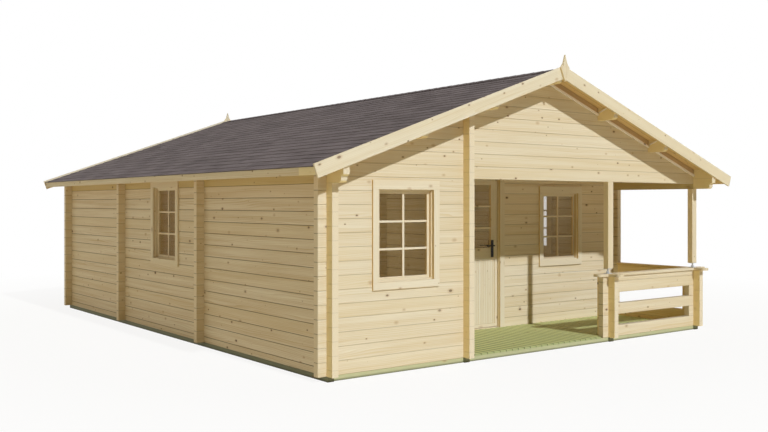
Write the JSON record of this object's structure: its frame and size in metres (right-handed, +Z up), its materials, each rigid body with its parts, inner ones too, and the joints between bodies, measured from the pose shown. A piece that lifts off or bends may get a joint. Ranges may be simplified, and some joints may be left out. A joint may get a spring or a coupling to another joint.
{
  "type": "log cabin with a covered corner porch",
  "caption": "One-storey cabin of squared logs crossed and notched at the corners, with a shingled gable roof, a railed corner porch and a hinged entrance door.",
  "frame": {"origin": "middle of the plan at the underside of the foundation beams", "axes": "+Z up, -Y the front with the porch entrance, +X to the right seen from the front"},
  "size_m": [6.472, 8.03, 3.2832],
  "materials": {
    "log_pine": "planed, untreated",
    "planed_pine": "planed, untreated",
    "treated_pine": "pressure-treated, pale green",
    "bitumen_shingle": "mineral granules",
    "glass": "clear",
    "black_metal": "satin black",
    "zinc_steel": "zinc plated"
  },
  "bodies": {
    "house": {"side_beams": "treated_pine", "cross_beams": "treated_pine", "floor_joists": "treated_pine", "porch_deck": "treated_pine", "front_wall": "log_pine", "front_gable": "log_pine", "left_wall": "log_pine", "right_wall": "log_pine", "back_wall": "log_pine", "porch_side_wall": "log_pine", "porch_back_wall_left": "log_pine", "porch_back_wall_right": "log_pine", "porch_back_wall_top": "log_pine", "front_partition_left": "log_pine", "front_partition_right": "log_pine", "front_partition_top": "log_pine", "rear_partition_left": "log_pine", "rear_partition_right": "log_pine", "rear_partition_top": "log_pine", "eave_logs": "log_pine", "ridge_purlin": "log_pine", "purlins": "log_pine", "front_railing": "log_pine", "side_railing_base": "log_pine", "side_railing_corner": "log_pine", "side_railing_top": "log_pine", "railing_end_stack": "log_pine", "porch_posts": "log_pine", "floor": "planed_pine", "front_handrail": "planed_pine", "side_handrail": "planed_pine", "roof_boards_left": "planed_pine", "roof_boards_right": "planed_pine", "fascias": "planed_pine", "front_barge_boards": "planed_pine", "back_barge_boards": "planed_pine", "finials": "planed_pine", "window_frames": "planed_pine", "window_trims": "planed_pine", "window_sashes": "planed_pine", "door_jambs": "planed_pine", "door_head": "planed_pine", "door_sill": "planed_pine", "door_trims": "planed_pine", "post_jacks": "zinc_steel", "shingles_left": "bitumen_shingle", "shingles_right": "bitumen_shingle", "window_glass": "glass", "frame_hinges": "zinc_steel"},
    "door": {"door_leaf": "planed_pine", "door_glass": "glass", "door_handle": "black_metal", "leaf_hinges": "zinc_steel"}
  },
  "joints": [
    {"name": "door_swing", "type": "hinge", "parent": "house", "child": "door", "pos_m": [-0.2655, -2.2915, 0.1], "axis": [0, 0, 1], "range_deg": [0, 100]}
  ]
}
